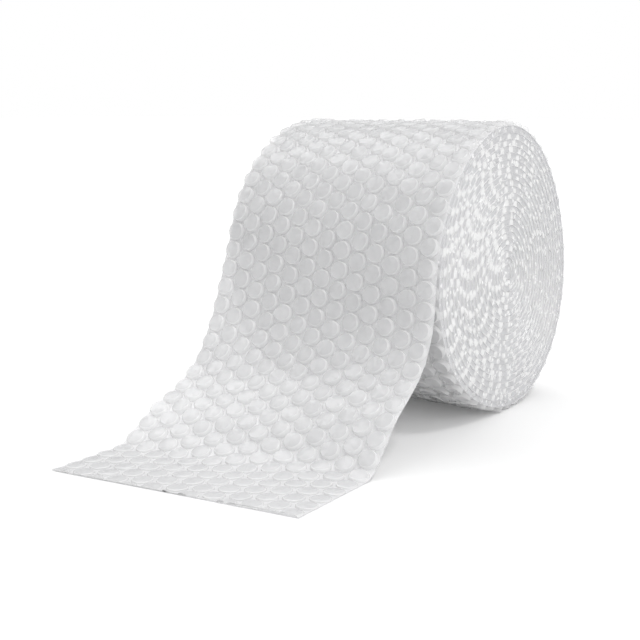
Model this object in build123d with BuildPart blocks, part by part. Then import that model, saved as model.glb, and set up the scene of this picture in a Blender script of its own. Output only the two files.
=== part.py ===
from build123d import *
import math
import os

# Bubble film roll: laminated air bubble film wound on itself with no core, its free end drawn out over the floor.
# The film is one web, so the wound turns and the free tail are one solid, as high as the web's bubbles.
# Frame: X along the roll's axis, the tail towards -Y, Z up, the floor at z = 0, the origin below the axis.

# Driving dimensions, in mm and degrees
web_width = 300.0  # across the web, and so the roll's length along its axis
roll_radius = 186.0  # mean radius of the outer turn
web_thickness = 8.0  # one layer over its bubbles, and so the step of the spiral in one turn
flat_width = 60.0  # flat spot that the soft roll's own weight presses into its underside
tail_length = 412.0  # web from where it leaves the roll to its cut end, along the right edge, +X
cut_slant = 18.0  # how much longer the left edge is, because the end was cut by hand
cut_end_thickness = 3.5  # the bubbles beside the cut have lost their air
leave_angle = 168.0  # where the web leaves the roll: 0 is the back, +Y, and 90 is the top
root_depth = 14.0  # how far the tail's film side starts inside the wound turns, so that the two are one
root_lead = 4.0  # degrees back up the turn at which it starts there

# The slumped roll is out of round: its radius swells by these shares, with a lobe at each angle
oval_share = 0.042
oval_angle = 139.0
trefoil_share = 0.02
trefoil_angle = 78.0

# Film side of the tail where it hangs free: forward of the axis and height above the floor, in roll radii.
# The left edge, at -X, is drawn further out than the right one. Each list ends where the web meets the floor.
left_drape = [(1.08, 0.908), (1.19, 0.645), (1.34, 0.412), (1.545, 0.262), (1.757, 0.18), (1.92, 0.085), (2.10, 0)]
right_drape = [(1.02, 0.779), (1.08, 0.612), (1.17, 0.487), (1.29, 0.388), (1.43, 0.288), (1.56, 0.155), (1.76, 0)]

turn_stations = 36  # points round the outer turn
thickness_stations = 12  # points along the bubble side of the free tail

flat_depth = roll_radius - math.sqrt(roll_radius**2 - (flat_width / 2) ** 2)


def turn_radius(angle):
    # Radius of the web's bubble side, after the turn has gone back from leave_angle over the top to this angle
    turned = (leave_angle - angle) / 360
    oval = oval_share * math.cos(math.radians(2 * (angle - oval_angle)))
    trefoil = trefoil_share * math.cos(math.radians(3 * (angle - trefoil_angle)))
    return roll_radius * (1 + oval + trefoil) + web_thickness * (0.5 - turned)


def turn_point(angle, axis_height=0.0, inset=0.0):
    radius = turn_radius(angle) - inset
    across = radius * math.cos(math.radians(angle))
    return (across, axis_height + radius * math.sin(math.radians(angle)))


turn_angles = [leave_angle - 360 * step / turn_stations for step in range(turn_stations + 1)]
lowest = min(turn_point(angle)[1] for angle in turn_angles)
axis_height = -lowest - flat_depth
turn_points = [turn_point(angle, axis_height) for angle in turn_angles]
leave_direction = (-math.sin(math.radians(leave_angle)), math.cos(math.radians(leave_angle)))


root = turn_point(leave_angle - root_lead, axis_height, root_depth)

with BuildPart() as bubble_web:
    # Wound turns, one solid from end face to end face, pressed flat where they stand
    with BuildSketch(Plane.YZ.offset(-web_width / 2)):
        with BuildLine():
            Spline(*turn_points)
            Line(turn_points[-1], turn_points[0])
        make_face()
    extrude(amount=web_width)
    split(bisect_by=Plane.XY, keep=Keep.TOP)

    # Free tail, ruled between its sections along the web's left and right edges
    edges = ((-web_width / 2, left_drape, tail_length + cut_slant), (web_width / 2, right_drape, tail_length))
    for edge_x, drape, edge_length in edges:
        hanging = [(-forward * roll_radius, height * roll_radius) for forward, height in drape]
        with BuildSketch(Plane.YZ.offset(edge_x)):
            with BuildLine():
                film_side = Spline(root, *hanging, tangents=(leave_direction, (-1, 0)))
                bubble_points = [turn_points[0]]
                for step in range(2, thickness_stations + 1):
                    share = step / thickness_stations
                    along = film_side.tangent_at(share)
                    foot = film_side.position_at(share)
                    taper = (cut_end_thickness - web_thickness) * share * film_side.length / edge_length
                    thickness = web_thickness + taper
                    bubble_points.append((foot.X + along.Y * thickness, foot.Y - along.X * thickness))
                Spline(*bubble_points, tangents=(leave_direction, (-1, 0)))
                cut_end = hanging[-1][0] - (edge_length - film_side.length)
                Polyline(bubble_points[-1], (cut_end, cut_end_thickness), (cut_end, 0), hanging[-1])
                Line(root, turn_points[0])
            make_face()
    loft(ruled=True)

os.makedirs("parts", exist_ok=True)
bubble_web.part.label = "bubble_web"
export_step(bubble_web.part, "parts/bubble_web.step")
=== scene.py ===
import math
import bmesh
import bpy
import numpy as np
from mathutils import Matrix, Vector


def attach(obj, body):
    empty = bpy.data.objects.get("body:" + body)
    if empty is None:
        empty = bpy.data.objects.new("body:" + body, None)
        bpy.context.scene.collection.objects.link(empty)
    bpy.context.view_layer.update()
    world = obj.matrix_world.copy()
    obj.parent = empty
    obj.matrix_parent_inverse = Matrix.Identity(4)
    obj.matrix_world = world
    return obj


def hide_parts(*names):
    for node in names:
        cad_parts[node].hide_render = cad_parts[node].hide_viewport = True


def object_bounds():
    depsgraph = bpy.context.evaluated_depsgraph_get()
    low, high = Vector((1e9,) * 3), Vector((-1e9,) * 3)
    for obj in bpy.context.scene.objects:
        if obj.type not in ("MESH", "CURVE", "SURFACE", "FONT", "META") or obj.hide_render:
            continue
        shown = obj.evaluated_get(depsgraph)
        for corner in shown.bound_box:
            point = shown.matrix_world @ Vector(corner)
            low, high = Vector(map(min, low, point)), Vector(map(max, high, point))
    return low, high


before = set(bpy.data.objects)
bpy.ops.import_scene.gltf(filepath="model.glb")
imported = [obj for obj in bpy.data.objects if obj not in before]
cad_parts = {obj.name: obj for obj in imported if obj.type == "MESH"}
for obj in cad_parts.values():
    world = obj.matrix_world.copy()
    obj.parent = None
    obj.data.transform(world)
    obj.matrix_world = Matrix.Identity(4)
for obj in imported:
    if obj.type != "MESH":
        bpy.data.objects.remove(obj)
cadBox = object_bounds()
cadLow, cadHigh = cadBox
mm = 0.001
hair = 0.001 * mm  # a height or a step under this counts as none

# the web of bubble film: its flat sizes, then how it is wound and drawn out
web = {
    "columns": 13,  # bubbles across the web
    "rowPitch": 23.8 * mm,  # along one column; the next column is half a pitch further on
    "footRadius": 11.48 * mm,  # of one bubble
    "height": 6.6 * mm,  # of one bubble over the land between them
    "filmThickness": 0.35 * mm,  # the two films where they are laminated
    "turnStep": 8.0 * mm,  # one layer of the wound roll
    "rollRadius": 186.0 * mm,  # mean radius of the outer turn
    "leaveAngle": 168.0,  # degrees from the back over the top, where the web leaves the roll
    "ovalShare": 0.042,  # how far the slack roll is from round, as shares of its radius
    "ovalAngle": 139.0,
    "trefoilShare": 0.02,
    "trefoilAngle": 78.0,
    "flatWidth": 60.0 * mm,  # flat spot under the roll
    "turns": 22.2,
    "pointsPerTurn": 240,  # of the path that the web is laid along
    "leadPoints": 12,  # of the last turn, between the knots that give the tail its first slope
    "pointsPerSpan": 24,  # of the tail, between two knots
    "pastCut": 60.0 * mm,  # how far the path runs on beyond the cut
    "slopeStep": 1.5 * mm,  # the path's slope at a point is taken this far to each side of it
    "rightCutInset": 40.6 * mm,  # how much shorter the tail reaches at its right edge
    "leftFollows": [],  # degrees past the leave angle where an edge still lies on the roll
    "rightFollows": [5, 10],
    # the tail's edges: how far in front of the axis and how high, as shares of the roll's radius
    "leftDrape": [
        (1.08, 0.908),
        (1.19, 0.645),
        (1.34, 0.412),
        (1.545, 0.262),
        (1.757, 0.18),
        (1.92, 0.085),
        (2.10, 0),
    ],
    "rightDrape": [
        (1.02, 0.779),
        (1.08, 0.612),
        (1.17, 0.487),
        (1.29, 0.388),
        (1.43, 0.288),
        (1.56, 0.155),
        (1.76, 0),
    ],
    "knownColumn": 7,  # counted from 0 at the left edge
    "firstBubble": 263.0 * mm,  # from the cut end to the middle of a bubble in that column
    "weldGap": 0.02 * mm,  # points nearer than this to each other are one
    "smoothAngle": 50,  # degrees; a sharper edge is shaded sharp
    "seed": 7,
}
webWidth = cadHigh[0] - cadLow[0]
columnPitch = webWidth / web["columns"]


def deselectAll():
    for o in bpy.context.selected_objects:
        o.select_set(False)


def makeActive(o):
    deselectAll()
    o.select_set(True)
    bpy.context.view_layer.objects.active = o


def lobes(angle):
    # a slack roll isn't round: an oval and a three-lobed term on the circle
    oval = web["ovalShare"] * np.cos(np.radians(2 * (angle - web["ovalAngle"])))
    trefoil = web["trefoilShare"] * np.cos(np.radians(3 * (angle - web["trefoilAngle"])))
    return 1 + oval + trefoil


def turnPoint(turned, inset):
    # (y, z) about the roll's axis, after the web has gone this many turns into the roll
    angle = web["leaveAngle"] - 360 * turned
    radius = (web["rollRadius"] + web["turnStep"] * (0.5 - turned)) * lobes(angle) - inset
    return np.stack([radius * np.cos(np.radians(angle)), radius * np.sin(np.radians(angle))], -1)


flatDepth = web["rollRadius"] - math.sqrt(web["rollRadius"] ** 2 - (web["flatWidth"] / 2) ** 2)
outerTurn = turnPoint(np.linspace(0, 1, 361), 0)
axisHeight = -outerTurn[:, 1].min() - flatDepth
turned = np.linspace(web["turns"], 0, int(web["turns"] * web["pointsPerTurn"]))


def smoothPath(knots):
    # a cubic curve through the knots, with the slope at each from its neighbours
    knots = np.array(knots, float)
    span = np.hypot(*np.diff(knots, axis=0).T)[:, None]
    chord = np.diff(knots, axis=0) / span
    slope = np.zeros_like(knots)
    slope[1:-1] = (chord[:-1] * span[1:] + chord[1:] * span[:-1]) / (span[1:] + span[:-1])
    slope[0], slope[-1] = chord[0], (-1, 0)  # the tail ends flat on the floor
    t = np.linspace(0, 1, web["pointsPerSpan"], endpoint=False)[:, None]
    points = []
    for i in range(len(span)):
        fromStart = knots[i] * (2 * t**3 - 3 * t**2 + 1) + slope[i] * span[i] * (t**3 - 2 * t**2 + t)
        fromEnd = knots[i + 1] * (3 * t**2 - 2 * t**3) + slope[i + 1] * span[i] * (t**3 - t**2)
        points.append(fromStart + fromEnd)
    return np.vstack(points + [knots[-1:]])


def edgePath(drape, follows, cutEnd):
    # the film's under side along one edge of the web, from the middle of the roll to past the cut end,
    # then how far along the web each point is from where it leaves the roll, and how far the cut is
    wound = turnPoint(turned, web["turnStep"]) + (0, axisHeight)
    lead = [wound[-2 * web["leadPoints"]], wound[-web["leadPoints"]], wound[-1]]
    follow = [turnPoint(np.array(-a / 360), web["turnStep"]) + (0, axisHeight) for a in follows]
    hanging = [(-forward * web["rollRadius"], height * web["rollRadius"]) for forward, height in drape]
    free = smoothPath(lead + follow + hanging)[(len(lead) - 1) * web["pointsPerSpan"] :]
    path = np.vstack([wound[:-1], free, [(cutEnd - web["pastCut"], 0)]])
    gone = np.concatenate([[0], np.cumsum(np.hypot(*np.diff(path, axis=0).T))])
    gone -= gone[len(wound) - 1]
    cut = np.interp(-cutEnd, -path[len(wound) :, 0], gone[len(wound) :])
    return path, gone, cut


rightCutEnd = cadLow[1] + web["rightCutInset"]
leftPath, leftGone, leftCut = edgePath(web["leftDrape"], web["leftFollows"], cadLow[1])
rightPath, rightGone, rightCut = edgePath(web["rightDrape"], web["rightFollows"], rightCutEnd)
print("path of the web", len(leftPath), len(rightPath))


def lengthAt(turns):
    # where a turn begins, along the web from the leave point, so less than 0
    return float(np.interp(-turns, -turned, leftGone[: len(turned)]))


def cutAt(u):
    # where the slanted cut is, along the web from the leave point
    return leftCut + (rightCut - leftCut) * u / webWidth


def along(path, gone, s):
    # the places at s along one edge's path, and the way out of the web there
    step = web["slopeStep"]
    ahead, behind, here = [
        np.stack([np.interp(at, gone, path[:, k]) for k in (0, 1)], -1) for at in (s + step, s - step, s)
    ]
    way = ahead - behind
    way /= np.maximum(np.hypot(way[:, 0], way[:, 1]), hair)[:, None]
    return here, np.stack([way[:, 1], -way[:, 0]], -1)


def wind(u, s, h):
    # flat web (across, along, up) to its place on the roll or the tail, never under the floor
    left, leftUp = along(leftPath, leftGone, s)
    right, rightUp = along(rightPath, rightGone, s)
    share = (u / webWidth)[:, None]
    up = leftUp * (1 - share) + rightUp * share
    up /= np.hypot(up[:, 0], up[:, 1])[:, None]
    place = left * (1 - share) + right * share + up * h[:, None]
    return np.stack([u + cadLow[0], place[:, 0], np.maximum(place[:, 1], 0.0)], -1)


def linear(hexColour):
    parts = [int(hexColour[i : i + 2], 16) / 255 for i in (1, 3, 5)]
    return [c / 12.92 if c <= 0.04045 else ((c + 0.055) / 1.055) ** 2.4 for c in parts] + [1]


def node(tree, kind, inputs=(), **settings):
    n = tree.nodes.new(kind)
    for key, value in settings.items():
        setattr(n, key, value)
    for key, value in dict(inputs).items():
        if isinstance(value, bpy.types.NodeSocket):
            tree.links.new(value, n.inputs[key])
        else:
            n.inputs[key].default_value = value
    return n


def newMaterial(name):
    m = bpy.data.materials.new(name)
    m.use_nodes = True
    m.node_tree.nodes.clear()
    return m, m.node_tree


filmLook = {
    "ior": 1.51,  # low-density polyethylene
    "gloss": 0.8,
    "hazeSize": 16.67 * mm,  # of the milky patches
    "wrinkleSize": 7.692 * mm,
    "wrinkleBend": 0.8,
    "wrinkleDepth": 0.8 * mm,
    # how much each stops of what is behind it, its clear and hazy colours, roughness and wrinkles
    "films": {
        "clearBlownBaseFilm": (0.74, "#FBFBFC", "#F1F1F2", 0.25, 0.3),
        "clearBlownBubbleWall": (0.5, "#FEFEFE", "#F8F8F9", 0.16, 0.3),
        "clearBlownBubbleCrown": (0.42, "#FCFCFD", "#E6E6E8", 0.12, 0.8),
        "clearBlownFilmEdges": (0.85, "#FEFEFE", "#FBFBFB", 0.15, 0.3),
    },
}


def makeFilm(name):
    # low-density polyethylene, blown film: clear and glossy, milky where layers lie behind each other
    alpha, clear, hazy, roughness, wrinkles = filmLook["films"][name]
    m, tree = newMaterial(name)
    place = node(tree, "ShaderNodeTexCoord").outputs["Object"]
    patches = {"Vector": place, "Scale": 1 / filmLook["hazeSize"], "Detail": 3}
    haze = node(tree, "ShaderNodeTexNoise", patches).outputs["Fac"]
    colours = {"Factor": haze, "A": linear(clear), "B": linear(hazy)}
    tint = node(tree, "ShaderNodeMix", colours, data_type="RGBA").outputs["Result"]
    folds = {"Vector": place, "Scale": 1 / filmLook["wrinkleSize"], "Detail": 2}
    folds["Distortion"] = filmLook["wrinkleBend"]
    wrinkle = node(tree, "ShaderNodeTexNoise", folds, noise_type="RIDGED_MULTIFRACTAL").outputs["Fac"]
    relief = {"Height": wrinkle, "Strength": wrinkles, "Distance": filmLook["wrinkleDepth"]}
    bump = node(tree, "ShaderNodeBump", relief).outputs["Normal"]
    surface = {
        "Base Color": tint,
        "Normal": bump,
        "Roughness": roughness,
        "IOR": filmLook["ior"],
        "Specular IOR Level": filmLook["gloss"],
        "Alpha": alpha,
    }
    shader = node(tree, "ShaderNodeBsdfPrincipled", surface).outputs["BSDF"]
    node(tree, "ShaderNodeOutputMaterial", {"Surface": shader})
    return m


stackLook = {
    "between": "#D2D2D4",
    # painted highlight: pure white flecks stand in for the glints that the cut bubble walls catch
    "paintedGlintColour": "#FFFFFF",
    "paintedGlintSpacing": 9.5 * mm,  # between the cut ends of bubbles
    "paintedGlintShare": 0.28,  # of that spacing that one takes
    "paintedGlintFade": (0.6, 1.2),  # where its edge begins to fade and is gone, as shares of its size
    "rippleSize": 5.263 * mm,  # of the ripples that bend the layers
    "rippleReach": 9 * mm,
    "creaseSize": 6.667 * mm,
    "creaseBend": 1.0,
    "creaseStrength": 0.7,
    "creaseDepth": 0.8 * mm,
    "layerBend": 1.5,  # how far from true circles the layers' edges are
    "layerBendDetail": 60,
    "layerStrength": 0.35,
    "layerDepth": 1 * mm,
    "roughness": 0.3,
}


def makeStackFilm():
    # polyethylene film in many layers, seen on edge: milky, with white flecks painted in as glints where
    # bubbles are cut
    m, tree = newMaterial("milkyFilmStack")
    place = node(tree, "ShaderNodeTexCoord").outputs["Object"]
    ripples = {"Vector": place, "Scale": 1 / stackLook["rippleSize"], "Detail": 2}
    ripple = node(tree, "ShaderNodeTexNoise", ripples).outputs["Color"]
    reach = {0: ripple, "Scale": stackLook["rippleReach"]}
    shift = node(tree, "ShaderNodeVectorMath", reach, operation="SCALE").outputs[0]
    bent = node(tree, "ShaderNodeVectorMath", {0: place, 1: shift}, operation="ADD").outputs[0]
    # painted glints: white flecks in a Voronoi pattern, where cut bubble walls would catch the light
    cells = {"Vector": bent, "Scale": 1 / stackLook["paintedGlintSpacing"]}
    cell = node(tree, "ShaderNodeTexVoronoi", cells).outputs["Distance"]
    near, far = [stackLook["paintedGlintShare"] * share for share in stackLook["paintedGlintFade"]]
    edges = {"Value": cell, "From Min": near, "From Max": far, "To Min": 1, "To Max": 0}
    paintedGlintMask = node(tree, "ShaderNodeMapRange", edges).outputs["Result"]
    colours = {"Factor": paintedGlintMask, "A": linear(stackLook["between"]), "B": linear(stackLook["paintedGlintColour"])}
    tint = node(tree, "ShaderNodeMix", colours, data_type="RGBA").outputs["Result"]
    folds = {"Vector": place, "Scale": 1 / stackLook["creaseSize"], "Detail": 3}
    folds["Distortion"] = stackLook["creaseBend"]
    crease = node(tree, "ShaderNodeTexNoise", folds, noise_type="RIDGED_MULTIFRACTAL").outputs["Fac"]
    relief = {"Height": crease, "Strength": stackLook["creaseStrength"]}
    relief["Distance"] = stackLook["creaseDepth"]
    creased = node(tree, "ShaderNodeBump", relief).outputs["Normal"]
    # rings about the roll's axis, one for each layer
    toAxis = {"Vector": bent, "Location": (0, 0, -axisHeight)}
    centred = node(tree, "ShaderNodeMapping", toAxis).outputs["Vector"]
    ringPerMetre = 2 * math.pi / 20  # the wave texture multiplies its scale by 20
    layers = {
        "Vector": centred,
        "Scale": ringPerMetre / web["turnStep"],
        "Distortion": stackLook["layerBend"],
        "Detail Scale": stackLook["layerBendDetail"],
    }
    wave = node(tree, "ShaderNodeTexWave", layers, wave_type="RINGS", rings_direction="X").outputs["Fac"]
    relief = {"Height": wave, "Strength": stackLook["layerStrength"], "Distance": stackLook["layerDepth"]}
    bump = node(tree, "ShaderNodeBump", {**relief, "Normal": creased}).outputs["Normal"]
    surface = {"Base Color": tint, "Normal": bump, "Roughness": stackLook["roughness"]}
    surface["IOR"] = filmLook["ior"]
    shader = node(tree, "ShaderNodeBsdfPrincipled", surface).outputs["BSDF"]
    node(tree, "ShaderNodeOutputMaterial", {"Surface": shader})
    return m


# the base film and the land, then the bubbles' walls and crowns, thinner the further they are drawn
outerNames = ["clearBlownBaseFilm", "clearBlownBubbleWall", "clearBlownBubbleCrown"]
outerFilms = [makeFilm(name) for name in outerNames]
edgeFilm = makeFilm("clearBlownFilmEdges")
stackFilm = makeStackFilm()
print("films", len(outerFilms) + 2)


bubble = {
    "sides": 16,
    "rings": [(1.0, 0.0), (0.975, 0.66), (0.86, 0.96)],  # share of the foot radius and of the height
    "top": 1.0,  # share of the height
    "crownFrom": 0.9,  # share of the height over which the film is the crown's
    "spareRows": 4,  # so that the cuts at both ends always go through film
}


def brickPerimeter(count, width, length):
    # the points of a brick's outline that match its neighbours, half a brick further on
    quarter = count // 4
    points = []
    for side in range(4):
        for step in range(quarter):
            t = step / quarter - 0.5
            points.append([(0.5, t), (-t, 0.5), (-0.5, -t), (t, -0.5)][side])
    return [(x * width, y * length) for x, y in points]


def makeBubbleTile(width, length, films):
    # one bubble with the land around it and the flat film under it
    rings = bubble["rings"]
    bpy.ops.mesh.primitive_circle_add(vertices=bubble["sides"], radius=web["footRadius"], fill_type="NGON")
    tile = bpy.context.object
    for film in films:
        tile.data.materials.append(film)
    bpy.ops.object.mode_set(mode="EDIT")
    for (r0, h0), (r1, h1) in zip(rings, rings[1:]):
        rise = (0, 0, (h1 - h0) * web["height"])
        bpy.ops.mesh.extrude_region_move(TRANSFORM_OT_translate={"value": rise})
        bpy.ops.transform.resize(value=(r1 / r0, r1 / r0, 1))
    bpy.ops.mesh.poke(offset=0)
    mesh = bmesh.from_edit_mesh(tile.data)
    for f in mesh.faces:
        f.material_index = 1 if f.calc_center_median().z < bubble["crownFrom"] * web["height"] else 2
    top = max(mesh.verts, key=lambda v: v.co.z - v.co.xy.length)
    top.co.z = web["height"] * bubble["top"]
    # land: the foot circle reaches out to the brick's outline
    foot = [v for v in mesh.verts if v.co.z < hair]
    turn = 2 * math.pi / bubble["sides"]
    foot.sort(key=lambda v: round(math.atan2(v.co.y, v.co.x) / turn) % bubble["sides"])
    outline = brickPerimeter(bubble["sides"], width, length)
    start = min(range(len(outline)), key=lambda i: abs(math.atan2(outline[i][1], outline[i][0])))
    outline = outline[start:] + outline[:start]
    rim = [mesh.verts.new((x, y, 0)) for x, y in outline]
    base = [mesh.verts.new((x, y, -web["filmThickness"])) for x, y in outline]
    for i in range(len(rim)):
        j = (i + 1) % len(rim)
        mesh.faces.new((foot[i], rim[i], rim[j], foot[j]))
    mesh.faces.new(list(reversed(base)))
    bmesh.update_edit_mesh(tile.data)
    bpy.ops.object.mode_set(mode="OBJECT")
    return tile


def repeatRows(tile, rows):
    array = tile.modifiers.new("rows", "ARRAY")
    array.count = rows
    array.use_relative_offset = False
    array.use_constant_offset = True
    array.constant_offset_displace = (0, web["rowPitch"], 0)
    array.use_merge_vertices = True
    array.merge_threshold = web["weldGap"] / 2
    makeActive(tile)
    bpy.ops.object.modifier_apply(modifier="rows")


def knownBubble(column):
    # the middle of one bubble of a column, along the web; the columns are staggered by half a pitch
    stagger = (column % 2 - 1) * web["rowPitch"] / 2
    return cutAt((web["knownColumn"] + 0.5) * columnPitch) - web["firstBubble"] + stagger


def firstRow(column, start):
    # the middle of the column's first bubble, one to two pitches before start
    known = knownBubble(column)
    return known - math.ceil((known - start) / web["rowPitch"] + 1) * web["rowPitch"]


def edgeKey(e):
    # the same for two edges that lie over each other, to a hundredth of a millimetre
    return frozenset((round(v.co.x, 5), round(v.co.y, 5)) for v in e.verts)


def closeRim(mesh):
    # joins each open edge of the bubble film to the flat film's edge under it
    between = -0.5 * web["filmThickness"]
    openEdges = [e for e in mesh.edges if e.is_boundary]
    under = {edgeKey(e): e for e in openEdges if e.verts[0].co.z < between}
    for e in [e for e in openEdges if e.verts[0].co.z > between]:
        a, b = e.verts
        c, d = under[edgeKey(e)].verts
        if (a.co.xy - c.co.xy).length > (a.co.xy - d.co.xy).length:
            c, d = d, c
        mesh.faces.new((a, b, d, c))


def flatWeb(name, columns, start, end, films, slantedEnd=False):
    # bubbles in staggered columns, from start to end along the web, with the two films joined at the rim
    tile = makeBubbleTile(columnPitch, web["rowPitch"], films)
    repeatRows(tile, int((end - start) / web["rowPitch"]) + bubble["spareRows"])
    copies = []
    for column in columns:
        copy = tile.copy()
        copy.data = tile.data.copy()
        bpy.context.scene.collection.objects.link(copy)
        middle = ((column + 0.5) * columnPitch, firstRow(column, start), 0)
        copy.data.transform(Matrix.Translation(middle))
        copies.append(copy)
    bpy.data.objects.remove(tile)
    makeActive(copies[0])
    for copy in copies:
        copy.select_set(True)
    bpy.ops.object.join()
    flat = bpy.context.object
    flat.name = name
    flat.data.name = name
    bpy.ops.object.mode_set(mode="EDIT")
    bpy.ops.mesh.select_all(action="SELECT")
    bpy.ops.mesh.remove_doubles(threshold=web["weldGap"])
    closeRim(bmesh.from_edit_mesh(flat.data))
    bmesh.update_edit_mesh(flat.data)
    bpy.ops.mesh.select_all(action="SELECT")
    bpy.ops.mesh.normals_make_consistent(inside=False)
    slope = (rightCut - leftCut) / webWidth if slantedEnd else 0.0
    bpy.ops.mesh.bisect(plane_co=(0, start, 0), plane_no=(0, 1, 0), use_fill=True, clear_inner=True)
    bpy.ops.mesh.select_all(action="SELECT")
    bpy.ops.mesh.bisect(plane_co=(0, end, 0), plane_no=(-slope, 1, 0), use_fill=True, clear_outer=True)
    bpy.ops.object.mode_set(mode="OBJECT")
    return flat


uneven = {
    "drawn": 800,  # rows of bubbles with random values of their own
    "height": 0.08,  # share by which bubbles are higher or lower
    "lean": 0.22,  # share by which a bubble's sides differ in height
    "crumple": 0.07,  # share by which each point of a bubble is higher or lower
    "topWithin": 0.3,  # share of the foot radius that is a bubble's top
    "topShift": 1.8 * mm,  # sideways
    "wallShift": 0.5 * mm,
    "limpWithin": 150 * mm,  # of the cut: there the bubbles have lost air
    "limpOver": 60 * mm,  # the stretch over which they go limp
    "limpLoss": 0.62,  # share of the height that they have lost
    "limpDent": 1.6 * mm,  # in their tops
    "rimWidth": 4 * mm,  # of the web's edge that frays
    "scrapWidth": 0.3 * mm,  # of the part of it that scraps of film hang from
    "scrapsDrawn": 997,
    "scrapsPerBubble": 4,
    "scrapRange": (-3, 1),  # of random lengths; there is no scrap where it is less than 0
    "bubbleShare": 0.2,  # how far a bubble's side strays at the rim, as a share of the fray
    "insetShare": 0.12,  # how far the rim lies inside the end of the roll, as a share of the fray
}


def windMesh(o, press, fray):
    # gives each bubble its own height and lean, then lays the flat web along its path
    count = len(o.data.vertices)
    co = np.zeros(count * 3)
    o.data.vertices.foreach_get("co", co)
    u, s, h = co.reshape(-1, 3).T.copy()
    column = np.clip((u / columnPitch).astype(int), 0, web["columns"] - 1)
    known = knownBubble(column)
    row = np.round((s - known) / web["rowPitch"]).astype(int)
    du = u - (column + 0.5) * columnPitch
    ds = s - known - row * web["rowPitch"]
    fromMiddle = np.hypot(du, ds)
    table = np.random.default_rng(web["seed"]).uniform(-1, 1, (web["columns"], uneven["drawn"], 4))
    own = table[column, row % uneven["drawn"]]
    up = h > hair
    raised = np.clip(h / web["height"], 0, 1)
    toCut = cutAt(u) - s
    limp = np.clip((uneven["limpWithin"] - toCut) / uneven["limpOver"], 0, 1) * (s > 0)
    fullness = press * (1 + uneven["height"] * own[:, 0]) * (1 - uneven["limpLoss"] * limp)
    lean = 1 + (own[:, 1] * du + own[:, 2] * ds) / web["footRadius"] * uneven["lean"]
    top = up & (fromMiddle < uneven["topWithin"] * web["footRadius"])
    h = np.where(up, h * fullness * lean, h)
    h = np.where(top, h - limp * uneven["limpDent"], h)
    u = np.where(top, u + own[:, 3] * uneven["topShift"], u)
    s = np.where(top, s + own[:, 1] * uneven["topShift"], s)
    u = np.where(up, u + own[:, 3] * uneven["wallShift"] * raised, u)
    crumple = np.random.default_rng(web["seed"] + 2).uniform(-1, 1, count)
    h = np.where(up, h * (1 + uneven["crumple"] * crumple), h) + web["filmThickness"]
    place = wind(np.clip(u, 0, webWidth), s, h)
    # the rim lies just inside the end of the roll, and here and there a scrap of film stands out of it
    fromEdge = np.minimum(u, webWidth - u)
    scraps = np.random.default_rng(web["seed"] + 1).uniform(*uneven["scrapRange"], uneven["scrapsDrawn"])
    scrapPlace = np.round(s / web["rowPitch"] * uneven["scrapsPerBubble"]).astype(int)
    scrap = np.maximum(scraps[scrapPlace % uneven["scrapsDrawn"]], 0) * (fromEdge < uneven["scrapWidth"])
    onBubble = up | (np.abs(fromMiddle - web["footRadius"]) < web["weldGap"])
    outward = np.where(onBubble, uneven["bubbleShare"] * own[:, 2], scrap) - uneven["insetShare"]
    side = np.where(u < webWidth / 2, -1, 1)
    place[:, 0] += side * (fromEdge < uneven["rimWidth"]) * fray * outward
    o.data.vertices.foreach_set("co", place.ravel())
    # along the path the web's own frame is mirrored, so its faces are turned to point outwards again
    o.data.flip_normals()


def finishPiece(o):
    makeActive(o)
    bpy.ops.object.shade_smooth_by_angle(angle=math.radians(web["smoothAngle"]))
    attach(o, "root")
    print(o.name, len(o.data.polygons))


outerLook = {
    "press": 0.86,  # height of the bubbles as wound, as a share of their own
    "fray": 1.2 * mm,  # reach of the longest scraps at the rim
}
turnOne, turnTwo = lengthAt(1), lengthAt(2)
outer = flatWeb("outer_turn_and_tail", range(web["columns"]), turnOne, leftCut, outerFilms, True)
windMesh(outer, outerLook["press"], outerLook["fray"])
finishPiece(outer)
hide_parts("bubble_web")


secondLook = {
    "press": 1.0,
    "fray": 0.0,
}
second = flatWeb("second_turn", range(web["columns"]), turnTwo, turnOne, outerFilms)
windMesh(second, secondLook["press"], secondLook["fray"])
finishPiece(second)


endsLook = {
    "press": 1.12,
    "fray": 3.0 * mm,
    "innermost": 21.9,  # the turn that they begin at
    "columns": {"right_end_turns": web["columns"] - 1, "left_end_turns": 0},
}
innermost = lengthAt(endsLook["innermost"])
for name, column in endsLook["columns"].items():
    ends = flatWeb(name, [column], innermost, turnTwo, [edgeFilm] * len(outerFilms))
    windMesh(ends, endsLook["press"], endsLook["fray"])
    finishPiece(ends)


coreLook = {
    "sides": 144,
    "setBack": 1.7 * mm,  # of its ends from the web's edges
    "endWall": 1.6 * mm,  # thickness of the wider ends, which fill in the edges of the outer two turns
    "endTurn": 1,  # the turns that its ends and its middle are as large as
    "middleTurn": 2,
    "slack": 0.1 * mm,  # under them
}


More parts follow.
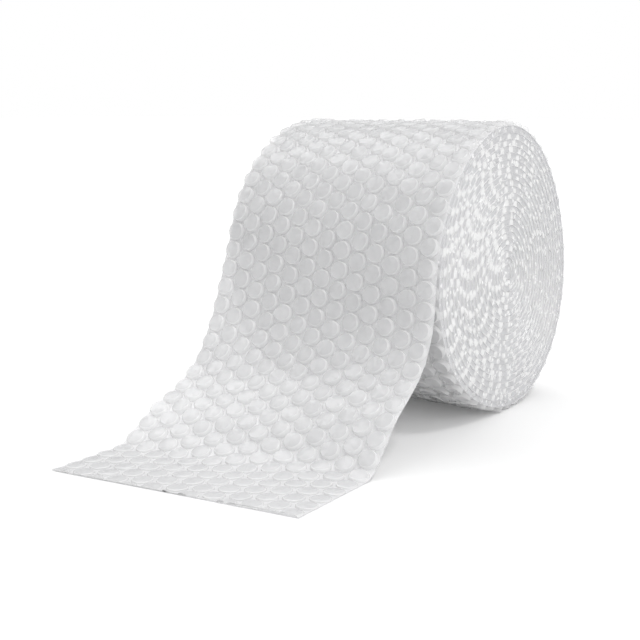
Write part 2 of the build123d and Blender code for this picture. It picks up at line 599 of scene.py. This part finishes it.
def makeCore():
    # the turns under the second one, seen as one milky body between the end columns
    sides = coreLook["sides"]
    near, wall = coreLook["setBack"], coreLook["endWall"]
    ends, middle = coreLook["endTurn"], coreLook["middleTurn"]
    rings = [(near, ends), (near + wall, ends), (near + wall, middle)]
    rings += [(webWidth - x, turn) for x, turn in reversed(rings)]
    bpy.ops.mesh.primitive_circle_add(vertices=sides, radius=web["rollRadius"], fill_type="NGON")
    core = bpy.context.object
    core.name = core.data.name = "inner_turns"
    bpy.ops.object.mode_set(mode="EDIT")
    for _ in rings[1:]:
        bpy.ops.mesh.extrude_region_move(TRANSFORM_OT_translate={"value": (0, 0, 10 * mm)})
    bpy.ops.object.mode_set(mode="OBJECT")
    # each level of the tube goes to its place across the web and takes on the roll's outline there
    around = np.linspace(0, 1, sides, endpoint=False)
    order = sorted(core.data.vertices, key=lambda v: (round(v.co.z, 4), v.index))
    for k, (x, turn) in enumerate(rings):
        ring = sorted(order[k * sides : (k + 1) * sides], key=lambda v: math.atan2(v.co.y, v.co.x))
        outline = turnPoint(turn + around, coreLook["slack"]) + (0, axisHeight)
        for v, (y, z) in zip(ring, outline):
            v.co = (cadLow[0] + x, y, max(z, (turn - 1) * web["turnStep"]))
    makeActive(core)
    bpy.ops.object.mode_set(mode="EDIT")
    bpy.ops.mesh.select_all(action="SELECT")
    bpy.ops.mesh.normals_make_consistent(inside=False)
    bpy.ops.object.mode_set(mode="OBJECT")
    core.data.materials.append(stackFilm)
    return core


finishPiece(makeCore())


stageLook = {
    "floorColour": "#F4F4F4",
    "floorSize": 60.0,  # metres
    "floorDrop": 0.5 * mm,  # under the part, so that the two never share a plane
    "floorGlow": 0.12,
    "worldStrength": 0.58,
    # strength, degrees across, so that shadows are soft, and the way to each
    "suns": {
        "overheadDiffuser": (0.9, 50, (-0.35, 0.25, 1.0)),
        "keyDiffuser": (0.65, 10, (0.45, -0.1, 1.0)),
        "sideDiffuser": (0.45, 40, (1.0, 0.1, 0.5)),
        "lowDiffuser": (0.4, 60, (0.8, -0.6, 0.12)),
    },
}


def makeFloor():
    place = (0, 0, -stageLook["floorDrop"])
    bpy.ops.mesh.primitive_plane_add(size=stageLook["floorSize"], location=place)
    floor = bpy.context.object
    floor.name = "floor"
    m, tree = newMaterial("paleFloor")
    lit = node(tree, "ShaderNodeBsdfDiffuse", {"Color": linear(stageLook["floorColour"])})
    seen = node(tree, "ShaderNodeLightPath").outputs["Is Camera Ray"]
    lift = node(tree, "ShaderNodeMath", {0: seen, 1: stageLook["floorGlow"]}, operation="MULTIPLY")
    glow = node(tree, "ShaderNodeEmission", {"Color": (1, 1, 1, 1), "Strength": lift.outputs[0]})
    both = node(tree, "ShaderNodeAddShader", {0: lit.outputs[0], 1: glow.outputs[0]})
    node(tree, "ShaderNodeOutputMaterial", {"Surface": both.outputs[0]})
    floor.data.materials.append(m)


def makeWorld():
    world = bpy.data.worlds.new("studio")
    bpy.context.scene.world = world
    world.use_nodes = True
    tree = world.node_tree
    tree.nodes.clear()
    seen = node(tree, "ShaderNodeLightPath").outputs["Is Camera Ray"]
    strength = node(tree, "ShaderNodeMix", {"Factor": seen, 2: stageLook["worldStrength"], 3: 1.0})
    back = node(tree, "ShaderNodeBackground", {"Color": (1, 1, 1, 1), "Strength": strength.outputs[0]})
    node(tree, "ShaderNodeOutputWorld", {"Surface": back.outputs[0]})


def addSun(name, strength, width, comesFrom):
    lamp = bpy.data.lights.new(name, "SUN")
    lamp.energy = strength
    lamp.angle = math.radians(width)
    o = bpy.data.objects.new(name, lamp)
    bpy.context.scene.collection.objects.link(o)
    o.rotation_euler = Vector(comesFrom).to_track_quat("Z", "Y").to_euler()


makeFloor()
makeWorld()
for name, (strength, width, comesFrom) in stageLook["suns"].items():
    addSun(name, strength, width, comesFrom)
print("floor and lights", len(stageLook["suns"]))


cameraLook = {
    "place": (0.7231, -1.2291, 0.3836),
    "turn": (78.85, 0, 35.01),  # degrees
    "lens": 60.68,
    "sensor": 36,
    "clearLayers": 32,  # of film that a ray of light goes on through
}
camera = bpy.data.objects.new("camera", bpy.data.cameras.new("camera"))
bpy.context.scene.collection.objects.link(camera)
camera.location = cameraLook["place"]
camera.rotation_euler = [math.radians(a) for a in cameraLook["turn"]]
camera.data.lens = cameraLook["lens"]
camera.data.sensor_width = cameraLook["sensor"]
bpy.context.scene.camera = camera
bpy.context.scene.view_settings.view_transform = "Standard"
bpy.context.scene.cycles.transparent_max_bounces = cameraLook["clearLayers"]
print("camera", cameraLook["lens"])
